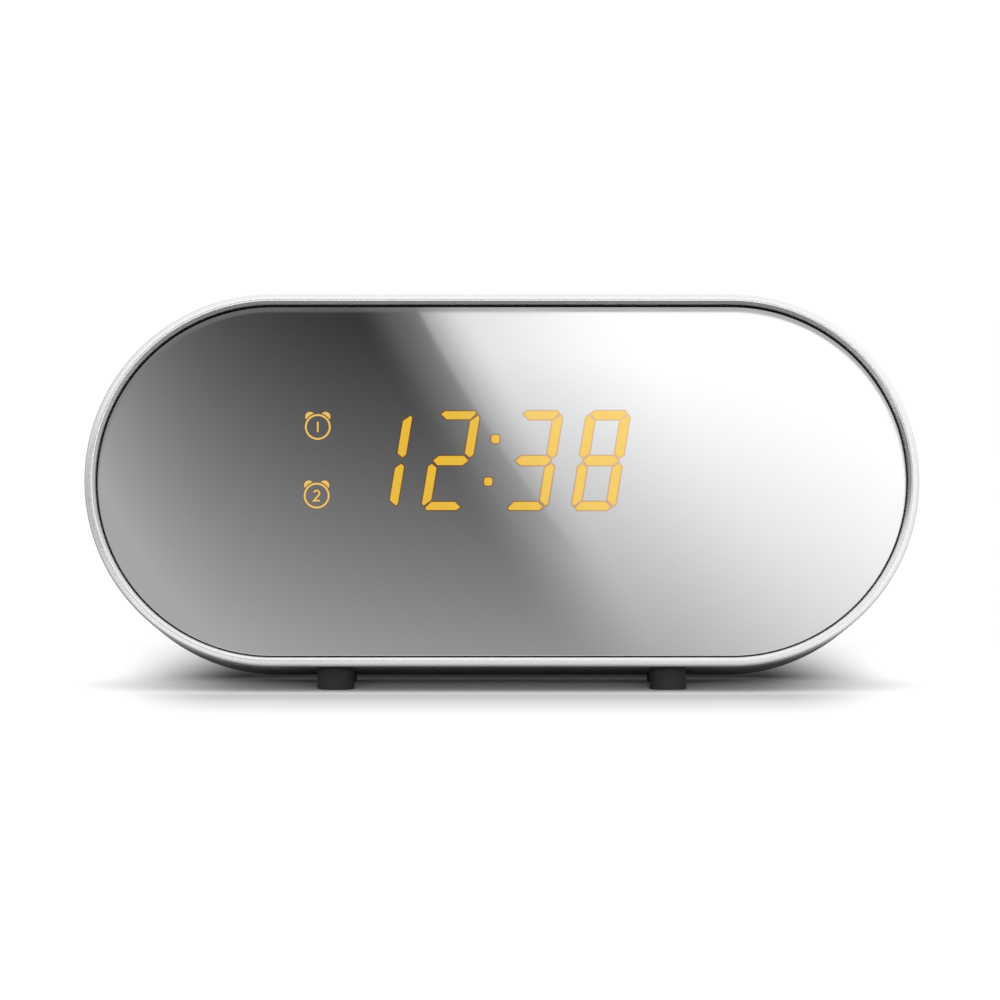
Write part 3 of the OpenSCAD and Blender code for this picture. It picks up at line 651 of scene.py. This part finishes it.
def lit_outlines():
    """Every lit bar and dot of the time, on the mirror's face."""
    bars = bar_outlines()
    outlines = [
        [(place + x, DIGIT_MID_Z + y) for x, y in slanted(bars[bar])]
        for place, digit in DIGIT_PLACES.items()
        for bar in LIT_BARS[digit]
    ]
    return outlines + [rounded_square(x, y, DOT_HALF, 0.5) for x, y in DOT_PLACES]


def make_digits():
    """The four digits and the two dots, as light on the mirror's face with a painted glow round each."""
    lit, glow = bmesh.new(), bmesh.new()
    for i, outline in enumerate(lit_outlines()):
        add_prism(lit, mirror_face, outline, LIT_SUNK, LIT_PROUD)
        layer = GLOW_PROUD - GLOW_LAYER * (i % 7)
        add_prism(glow, mirror_face, grown(outline, GLOW_REACH), LIT_SUNK, layer)
    new_piece("lit_digits", finished_mesh("lit_digits", lit), "lit_amber", RADIO)
    new_piece("digit_glow", finished_mesh("digit_glow", glow), "lit_glow", RADIO)


def rounded_square(cx, cy, half, radius, steps=6):
    """A square's outline with round corners."""
    inner = half - radius
    corners = [(1, 1, 0), (-1, 1, 90), (-1, -1, 180), (1, -1, 270)]
    points = []
    for sx, sy, start in corners:
        points += arc(cx + sx * inner, cy + sy * inner, radius, start, start + 90, steps)
    return points


def ear_outline(cx, cy, side, ring, radius, gap):
    """A bell's dome beside the ring: the part of a small disc that is clear of the ring."""
    angle = math.radians(90 - side * 37)
    ex, ey = cx + ring * math.cos(angle), cy + ring * math.sin(angle)
    clear = ring + gap
    outer = [p for p in circle_points(ex, ey, radius, 96) if math.dist(p, (cx, cy)) > clear]

    def from_axis(p):
        """The point's bearing about the disc's middle, from -pi to pi either side of the axis."""
        bearing = math.atan2(p[1] - ey, p[0] - ex) - angle
        return bearing - 2 * math.pi * round(bearing / (2 * math.pi))

    outer.sort(key=from_axis)
    first, last = (math.atan2(p[1] - cy, p[0] - cx) for p in (outer[0], outer[-1]))
    inner = [
        (cx + clear * math.cos(a), cy + clear * math.sin(a))
        for a in (last + (first - last) * k / 8 for k in range(1, 8))
    ]
    return outer + inner


def numeral_path(numeral, cx, cy, height):
    """The centre line of a 1 or a 2 of the given height about its middle."""
    h = height / 2
    if numeral == "1":
        return [(cx, cy - h), (cx, cy + h)]
    bowl = height * 0.27
    hook = arc(cx, cy + h - bowl, bowl, 165, -38, 14)
    return hook + [(cx - bowl, cy - h), (cx + bowl * 1.15, cy - h)]


def add_alarm_symbol(bm, face, cx, cy, numeral, ring, stroke, low, high, reach=0.0):
    """An alarm clock in outline with a numeral in it, its lines widened by reach on both sides."""
    wide = stroke + 2 * reach
    add_stroke(bm, face, circle_points(cx, cy, ring - stroke / 2, 64), wide, low, high, closed=True)
    for side in (-1, 1):
        ear = ear_outline(cx, cy, side, ring, ring * 0.375, ring * 0.085)
        add_prism(bm, face, grown(ear, reach), low, high - GLOW_LAYER)
    add_stroke(bm, face, numeral_path(numeral, cx, cy, ring * 0.79), wide * 0.9, low, high)


def make_symbols():
    """The two lit alarm clocks, with a painted glow half as wide as the digits'."""
    lit, glow = bmesh.new(), bmesh.new()
    for (x, y), numeral in SYMBOL_PLACES.items():
        drawing = (mirror_face, x, y, numeral, SYMBOL_RING, SYMBOL_STROKE, LIT_SUNK)
        add_alarm_symbol(lit, *drawing, LIT_PROUD)
        add_alarm_symbol(glow, *drawing, GLOW_PROUD, GLOW_REACH / 2)
    new_piece("lit_symbols", finished_mesh("lit_symbols", lit), "lit_symbol", RADIO)
    new_piece("symbol_glow", finished_mesh("symbol_glow", glow), "lit_glow", RADIO)


# ---------------------------------------------------------------- keys

CAP_LENGTH = 11.0
FLANGE = 0.35
FLANGE_THICK = 1.0
KEY_ROUND = 0.45
KEY_DISH = 0.18
INK_PROUD = 0.03


def make_key(node):
    """A pill-shaped cap with a rounded edge and a shallow finger dish."""
    face = key_face(node)
    low, high = span(node, UP)
    left, right = span(node, RIGHT)
    flange_w = (right - left) / MM
    cap_width = flange_w - 2 * FLANGE
    depth = (high - low) / MM
    radius = min(cap_width, CAP_LENGTH) / 2
    wide = cap_width > CAP_LENGTH
    half = abs(cap_width - CAP_LENGTH) / 2

    def outline(inset):
        points = stadium_points(half, radius - inset, 24)
        return points if wide else [(-y, x) for x, y in points]

    shoulder = FLANGE_THICK - depth
    levels = [(-FLANGE, -depth), (-FLANGE, shoulder), (0.0, shoulder)]
    for k in range(6):
        a = math.radians(90 * k / 5)
        levels.append((KEY_ROUND * (1 - math.cos(a)), -KEY_ROUND * (1 - math.sin(a))))
    for k in range(1, 6):
        t = k / 6
        dip = KEY_DISH * (1 - math.cos(math.pi * t)) / 2
        levels.append((KEY_ROUND + (radius - KEY_ROUND) * t * 0.8, -dip))
    bm = bmesh.new()
    loft(bm, face, [(outline(inset), proud) for inset, proud in levels])
    cap = new_piece(node + "_cap", finished_mesh(node, bm), "key_plastic", node, 40)
    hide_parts(node)


def chevrons(cx, direction):
    """Two arrow heads pointing right (1) or left (-1)."""
    return [
        [(cx + direction * (shift - 0.7), 1.1), (cx + direction * (shift + 0.5), 0),
         (cx + direction * (shift - 0.7), -1.1)]
        for shift in (-0.6, 0.7)
    ]


def key_strokes(node):
    """The strokes of a key's printed symbol as (path, closed)."""
    if node == "power_button":
        return [(arc(0, -0.1, 1.45, 125, 415, 36), False), ([(0, 0.1), (0, 1.75)], False)]
    if node == "set_button":
        return [(circle_points(0, 0, 1.6), True), ([(0, 1.0), (0, 0), (0.8, 0)], False)]
    if node == "tune_down_button":
        return [(path, False) for path in chevrons(0, -1)]
    if node == "tune_up_button":
        return [(path, False) for path in chevrons(0, 1)]
    if node == "volume_down_button":
        return [([(-1.3, 0), (1.3, 0)], False)]
    if node == "volume_up_button":
        level = [(-1.3, 0), (1.3, 0)]
        halves = [[(0, end * 0.18), (0, end * 1.3)] for end in (1, -1)]
        return [(path, False) for path in (level, *halves)]
    return []


def crescent_outline(cx, cy, radius):
    """A moon's crescent open to the upper right."""
    turn, away, bite = 36.5, radius * 0.57, radius * 0.78
    outer_tip = math.acos((radius**2 + away**2 - bite**2) / (2 * radius * away))
    inner_tip = math.acos((radius**2 - away**2 - bite**2) / (2 * away * bite))
    outer_tip, inner_tip = math.degrees(outer_tip), math.degrees(inner_tip)
    bx = cx + away * math.cos(math.radians(turn))
    by = cy + away * math.sin(math.radians(turn))
    outer = arc(cx, cy, radius, turn + outer_tip, turn + 360 - outer_tip, 40)
    inner = arc(bx, by, bite, turn + 360 - inner_tip, turn + inner_tip, 30)
    return outer + inner[1:-1]


def make_key_symbol(node):
    """The ink on a key's dish."""
    face = key_face(node)
    floor = -KEY_DISH - 0.03
    top = -KEY_DISH + INK_PROUD + 0.02
    bm = bmesh.new()
    if node.startswith("alarm"):
        add_alarm_symbol(bm, face, 0, -0.2, node.split("_")[1], 1.75, 0.3, floor, top)
    elif node == "snooze_bar":
        add_prism(bm, face, crescent_outline(0, 0, 2.0), floor, top)
    for path, closed in key_strokes(node):
        add_stroke(bm, face, path, 0.36, floor, top, closed)
    name = node + "_symbol"
    new_piece(name, finished_mesh(name, bm), "print_ink", node)


# ---------------------------------------------------------------- battery door


RIDGE_HALF, RIDGE_RADIUS, RIDGE_PITCH = 4.5, 0.3, 1.5
TOP_RIDGE_Z = 6.6


def make_door_grip():
    """Three ridges under the finger notch and an arrow that shows which way the door comes off."""
    low, high = span(DOOR, UP)
    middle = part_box(DOOR)[0].lerp(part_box(DOOR)[1], 0.5)
    face = face_at(middle.x, span(DOOR, BACK)[1], (low + high) / 2, -RIGHT, UP, BACK)
    bm = bmesh.new()
    ridge = stadium_points(RIDGE_HALF, RIDGE_RADIUS, 8)
    for k in range(3):
        outline = [(x, TOP_RIDGE_Z - RIDGE_PITCH * k + y) for x, y in ridge]
        add_prism(bm, face, outline, -0.05, 0.22)
    add_prism(bm, face, [(-1.6, -1.0), (1.6, -1.0), (0, 1.4)], -0.05, 0.1)
    new_piece("door_grip", finished_mesh("door_grip", bm), "shell_plastic", DOOR)


# ---------------------------------------------------------------- studio


def plain_plane(name, origin, u, v, half_u, half_v):
    """A one-face sheet whose object coordinates run along u and v from its origin."""
    mesh = bpy.data.meshes.new(name)
    signs = [(-1, -1), (1, -1), (1, 1), (-1, 1)]
    corners = [(half_u * a, half_v * b, 0) for a, b in signs]
    mesh.from_pydata(corners, [], [(0, 1, 2, 3)])
    obj = bpy.data.objects.new(name, mesh)
    bpy.context.scene.collection.objects.link(obj)
    axes = Matrix((u, v, u.cross(v))).transposed().to_4x4()
    obj.matrix_world = Matrix.Translation(origin) @ axes
    return obj


# A contact shadow painted in the paper's own colour: how far it reaches to each side, and how dark
# it is along Y. Both were set row by row, beside the floor in the photograph.
CONTACT_ACROSS = (0.058, 0.090)
CONTACT_DEPTH = [
    (-0.085, 0.0), (-0.058, 0.18), (-0.048, 0.26), (-0.038, 0.37), (-0.032, 0.36), (-0.027, 0.14),
    (-0.022, 0.0), (-0.005, 0.0), (0.003, 0.12), (0.009, 0.42), (0.013, 0.80), (0.019, 0.95),
    (0.026, 0.94), (0.055, 0.80), (0.080, 0.62), (0.107, 0.40), (0.135, 0.22), (0.180, 0.0),
]
# The paper glows a little beyond the body's ends, also set beside the photograph.
LIFT_ACROSS = (0.055, 0.095)
LIFT_DEPTH = -0.004
LIFT_REACH = 0.13
LIFT = 0.25
FLOOR_HALF = 12
PAPER = (0.87, 0.87, 0.87)


def make_floor():
    """Pale paper with a painted soft contact shadow in its own colour, and a painted glow beside the body's ends.
    """
    away_from_us = Vector((0, 1, 0))
    floor = plain_plane("floor", Vector((0, 0, 0)), RIGHT, away_from_us, FLOOR_HALF, FLOOR_HALF)
    s = Shader("floor_paper", PAPER, 0.8)
    axes = s.object_axes()
    beside = s.maths("ABSOLUTE", axes["X"])
    across = s.remap(beside, 1, 0, source=CONTACT_ACROSS, smooth=True)
    ramp = s.node("ShaderNodeValToRGB")
    first, last = CONTACT_DEPTH[0][0], CONTACT_DEPTH[-1][0]
    stops = ramp.color_ramp.elements
    for i, (place, shade) in enumerate(CONTACT_DEPTH):
        at = (place - first) / (last - first)
        stop = stops[0] if i == 0 else stops.new(at) if i < len(CONTACT_DEPTH) - 1 else stops[-1]
        stop.position, stop.color = at, (shade, shade, shade, 1)
    s.link(s.remap(axes["Y"], 0, 1, source=(first, last)), ramp.inputs["Fac"])
    grain = s.remap(s.noise(40, detail=3), 0.997, 1.0)
    clear = s.maths("SUBTRACT", grain, s.maths("MULTIPLY", across, ramp.outputs["Color"]))
    s.vary_colour(clear, 0.0, 1.0)
    s.colour = (1, 1, 1)
    lift_across = s.remap(beside, 0, 1, source=LIFT_ACROSS, smooth=True)
    away = s.maths("ABSOLUTE", s.maths("SUBTRACT", axes["Y"], LIFT_DEPTH))
    lift_along = s.remap(away, 1.0, 0.0, source=(0.0, LIFT_REACH), smooth=True)
    lift = s.maths("MULTIPLY", lift_across, lift_along)
    s.vary_colour(lift, 0.0, LIFT, socket="Emission Color")
    s.bsdf.inputs["Emission Strength"].default_value = 1.0
    s.bsdf.inputs["Specular IOR Level"].default_value = 0.0
    floor.data.materials.append(s.material)


CAMERA_BACK_OFF = 1.1
CAMERA_HEIGHT = 0.087
CAMERA_SIDE = -0.0004
AIM_HEIGHT = 0.04105
LENS = 183.5
SENSOR = 36
CLIP = (0.05, 60)


def make_camera():
    """The photograph's view: from straight ahead and a little above, with a long lens."""
    camera = bpy.data.objects.new("camera", bpy.data.cameras.new("camera"))
    bpy.context.scene.collection.objects.link(camera)
    rim_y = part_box("front_bezel")[0].lerp(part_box("front_bezel")[1], 0.5).y
    camera.location = (CAMERA_SIDE, rim_y - CAMERA_BACK_OFF, CAMERA_HEIGHT)
    aim = Vector((CAMERA_SIDE, rim_y, AIM_HEIGHT))
    camera.rotation_euler = (aim - camera.location).to_track_quat("-Z", "Y").to_euler()
    camera.data.lens = LENS
    camera.data.sensor_width = SENSOR
    camera.data.clip_start, camera.data.clip_end = CLIP
    bpy.context.scene.camera = camera
    return camera


CARD_DISTANCE = 1.6
CARD_HALF = (4.0, 2.4)
SCREEN_GAMMA = 2.2
WHITE_GREY = 255.0


def make_reflection_card(camera):
    """The studio as the mirror sees it: a dark side, a slanting edge, and a bright side.

    The card is parallel to the mirror and beyond the camera. Its own coordinates, shrunk by the
    mirror's share of the light's way, are places on the mirror's face as the camera sees them.
    """
    eye = camera.location - mirror_face.origin
    off = eye.dot(mirror_face.out)
    spread = (off + CARD_DISTANCE) / off
    foot = RIGHT * eye.dot(RIGHT) + UP * eye.dot(UP)
    origin = mirror_face.origin + foot * (1 - spread) + mirror_face.out * CARD_DISTANCE
    card = plain_plane("reflection_card", origin, RIGHT, UP, *CARD_HALF)
    for kind in ("camera", "diffuse", "transmission", "volume_scatter", "shadow"):
        setattr(card, "visible_" + kind, False)
    s = NodeMaterial("reflection_card")
    s.tree.nodes.remove(s.tree.nodes["Principled BSDF"])
    axes = s.object_axes()
    x = s.maths("MULTIPLY", axes["X"], 1 / MM / spread)
    z = s.maths("MULTIPLY", axes["Y"], 1 / MM / spread)
    light = s.maths("POWER", s.maths("DIVIDE", studio_grey(s, x, z), WHITE_GREY), SCREEN_GAMMA)
    emit = s.node("ShaderNodeEmission")
    s.link(s.maths("DIVIDE", light, MIRROR_COLOUR[0]), emit.inputs["Strength"])
    s.link(emit.outputs["Emission"], s.tree.nodes["Material Output"].inputs["Surface"])
    card.data.materials.append(s.material)


# What the mirror reflects: greys from 0 to 255, and millimetres on the mirror's face.
# The numbers of the dark side, the bright side and the edge between them come from a least-squares
# fit, made by another program, to greys sampled from the photograph's mirror. Their limits and
# everything after them were set beside the same picture.
DARK = {"grey": 89.8, "per_up": -1.33, "limits": (45.0, 165.0)}
GLOW = {"start": 84.5, "fade": -31.2, "grey": 70.3, "per_up": 0.26}
BRIGHT = {"grey": 217.2, "across": 0.362, "up": 1.647, "limits": (60.0, 258.0)}
BRIGHT_CURVE = {"across": 0.00082, "up": -0.00662, "both": -0.0123}
EDGE = {"across": 1.3, "slant": -0.567, "bend": -0.00054, "width": 13.3}
TAIL_SHARE, TAIL_END = 0.223, 3.94
CRISP = {"across": 4.66, "slant": -0.707, "bend": 0.00254}
CRISP_REACH = (-9.0, -0.6)
CRISP_END = (-0.8, 0.8)
CRISP_DEPTH = {"grey": 10.95, "per_up": 0.19, "bend": 0.0095}
CRISP_FADE = (-20.0, -8.0)
LIP_HALF, LIP_LOWER = 49.6, 0.85
LIP_START, LIP_END = (37.35, 37.75), (38.8, 39.3)
LIP_GREY, LIP_SHARE = 75.0, 0.63
SOFTBOX_GREY, SOFTBOX_START = 262.0, (50.0, 110.0)


def studio_grey(s, x, z):
    """Screen grey from 0 to 255 at x, z millimetres on the mirror's face."""

    def total(*terms):
        out = terms[0]
        for term in terms[1:]:
            out = s.maths("ADD", out, term)
        return out

    def times(a, b):
        return s.maths("MULTIPLY", a, b)

    def held_between(value, limits):
        return s.maths("MAXIMUM", s.maths("MINIMUM", value, limits[1]), limits[0])

    zz = times(z, z)
    # Dark side: lighter downwards, with a glow that fades in from the left.
    from_left = s.maths("DIVIDE", s.maths("ADD", x, GLOW["start"]), GLOW["fade"])
    glow = s.maths("POWER", math.e, from_left)
    glow = times(glow, total(times(z, GLOW["per_up"]), GLOW["grey"]))
    dark = total(times(z, DARK["per_up"]), glow, DARK["grey"])
    dark = held_between(dark, DARK["limits"])
    # Bright side: lighter to the right and upwards.
    slope = total(times(x, BRIGHT["across"]), times(z, BRIGHT["up"]))
    curve = total(
        times(times(x, x), BRIGHT_CURVE["across"]),
        times(zz, BRIGHT_CURVE["up"]),
        times(times(x, z), BRIGHT_CURVE["both"]),
    )
    bright = held_between(total(slope, curve, BRIGHT["grey"]), BRIGHT["limits"])
    # The edge slants down to the right: it starts sharply and has a long tail.
    edge = total(times(z, EDGE["slant"]), times(zz, EDGE["bend"]), EDGE["across"])
    past = s.maths("DIVIDE", s.maths("SUBTRACT", x, edge), EDGE["width"])
    step = s.remap(past, 0.0, 1 - TAIL_SHARE, source=(-1.0, 1.0), smooth=True)
    tail = s.remap(past, 0.0, TAIL_SHARE, source=(-1.0, TAIL_END), smooth=True)
    rise = s.maths("SUBTRACT", bright, dark)
    grey = total(dark, times(rise, total(step, tail)))
    # Just before the edge the dark side holds back, so that the edge is crisp where it is high.
    crisp = total(times(z, CRISP["slant"]), times(zz, CRISP["bend"]), CRISP["across"])
    ahead = s.maths("SUBTRACT", x, crisp)
    held = times(
        s.remap(ahead, 0.0, 1.0, source=CRISP_REACH, smooth=True),
        s.remap(ahead, 1.0, 0.0, source=CRISP_END, smooth=True),
    )
    depth = total(times(zz, CRISP_DEPTH["bend"]), times(z, CRISP_DEPTH["per_up"]), CRISP_DEPTH["grey"])
    depth = times(depth, s.remap(z, 0.0, 1.0, source=CRISP_FADE, smooth=True))
    grey = s.maths("SUBTRACT", grey, times(held, depth))
    # A painted reflection of the lip over the mirror, as a thin band along the top.
    end = s.maths("MAXIMUM", s.maths("SUBTRACT", s.maths("ABSOLUTE", x), LIP_HALF), 0.0)
    height = total(z, LIP_LOWER)
    reach = s.maths("SQRT", total(times(end, end), times(height, height)))
    lip = times(
        s.remap(reach, 0.0, 1.0, source=LIP_START, smooth=True),
        s.remap(reach, 1.0, 0.0, source=LIP_END, smooth=True),
    )
    grey = total(grey, times(lip, s.maths("SUBTRACT", LIP_GREY, times(grey, LIP_SHARE))))
    # Above what the mirror shows there is a wide softbox.
    above = s.remap(z, 0.0, 1.0, source=SOFTBOX_START, smooth=True)
    return total(grey, times(s.maths("SUBTRACT", SOFTBOX_GREY, grey), above))


def make_area_light(name, place, aim, size, power):
    """A rectangular soft light at a place, turned to its aim."""
    light = bpy.data.objects.new(name, bpy.data.lights.new(name, "AREA"))
    light.data.shape = "RECTANGLE"
    light.data.size, light.data.size_y = size
    light.data.energy = power
    light.location = place
    light.rotation_euler = (Vector(aim) - Vector(place)).to_track_quat("-Z", "Y").to_euler()
    bpy.context.scene.collection.objects.link(light)
    return light


WORLD_STRENGTH = 1.17
KEY_LIGHT = {"place": (1.3, -0.5, 1.2), "aim": (0, 0, 0.04), "size": (1.0, 1.0), "power": 0.4}
LOW_LIGHT = {"place": (0, -1.5, 0.26), "aim": (0, 0, 0.03), "size": (1.2, 0.2), "power": 10}


def make_studio():
    """White surroundings, a weak key light, and a low light that reaches under the front."""
    world = bpy.data.worlds.new("studio")
    bpy.context.scene.world = world
    world.use_nodes = True
    background = world.node_tree.nodes["Background"]
    background.inputs["Color"].default_value = (1, 1, 1, 1)
    background.inputs["Strength"].default_value = WORLD_STRENGTH
    make_area_light("key_light", **KEY_LIGHT)
    low = make_area_light("low_front_light", **LOW_LIGHT)
    low.visible_glossy = False
    bpy.context.scene.view_settings.view_transform = "Standard"


# ---------------------------------------------------------------- build

camera = make_camera()
make_studio()
make_floor()
make_reflection_card(camera)
dress_cad_nodes()
for part, softening in SOFT_EDGES.items():
    soften_edges(part, softening)
make_rim()
make_mirror()
make_digits()
make_symbols()
for key in KEYS:
    make_key(key)
    make_key_symbol(key)
make_door_grip()
